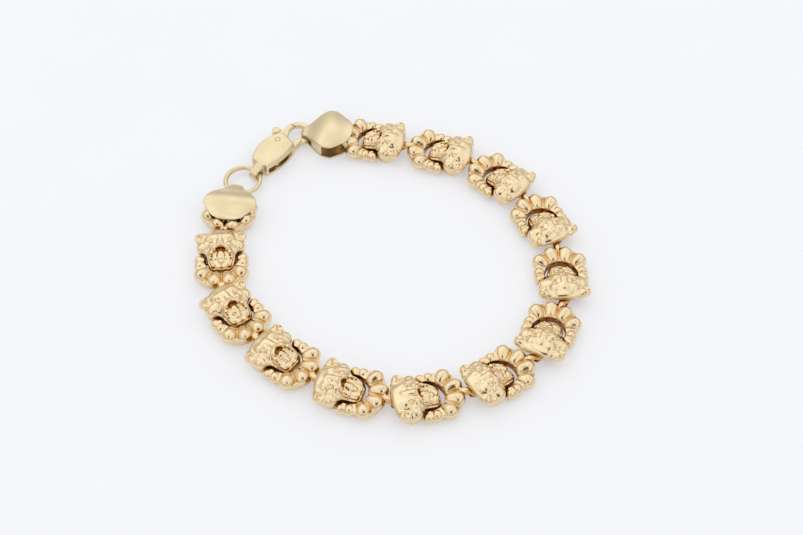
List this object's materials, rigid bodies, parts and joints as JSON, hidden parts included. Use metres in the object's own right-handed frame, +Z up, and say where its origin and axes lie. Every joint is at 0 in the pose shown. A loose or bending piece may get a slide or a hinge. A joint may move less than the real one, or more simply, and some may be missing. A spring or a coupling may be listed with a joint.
{
  "type": "bracelet",
  "caption": "Gold link bracelet of roaring big cat heads hinged through horseshoe rope collars, closed by smooth shield end caps, a jump ring and a lobster clasp",
  "frame": {"origin": "On the surface the bracelet lies on, under the middle of its bounding box", "axes": "+Z up out of the surface; +X and +Y lie in the plane of the loop, +Y towards the clasp"},
  "size_m": [0.0674, 0.0676, 0.0042],
  "materials": {
    "cast_gold": "cast pale 14k gold, polished on the raised forms",
    "polished_gold": "polished pale 14k gold"
  },
  "bodies": {
    "chain": {"head_01": "cast_gold", "head_02": "cast_gold", "head_03": "cast_gold", "head_04": "cast_gold", "head_05": "cast_gold", "head_06": "cast_gold", "head_07": "cast_gold", "head_08": "cast_gold", "head_09": "cast_gold", "head_10": "cast_gold", "head_11": "cast_gold", "head_12": "cast_gold", "collar_01": "cast_gold", "collar_02": "cast_gold", "collar_03": "cast_gold", "collar_04": "cast_gold", "collar_05": "cast_gold", "collar_06": "cast_gold", "collar_07": "cast_gold", "collar_08": "cast_gold", "collar_09": "cast_gold", "collar_10": "cast_gold", "collar_11": "cast_gold", "collar_12": "cast_gold", "collar_13": "cast_gold", "left_end_cap": "polished_gold", "right_end_cap": "polished_gold", "jump_ring": "polished_gold", "clasp_body": "polished_gold", "clasp_pin": "polished_gold"},
    "lever": {"clasp_lever": "polished_gold"}
  },
  "joints": [
    {"name": "clasp_lever", "type": "hinge", "parent": "chain", "child": "lever", "pos_m": [-0.02054, 0.02704, 0.00115], "axis": [0, 0, -1], "range_deg": [0, 15], "stiffness_Nm_per_rad": 0.0002}
  ]
}
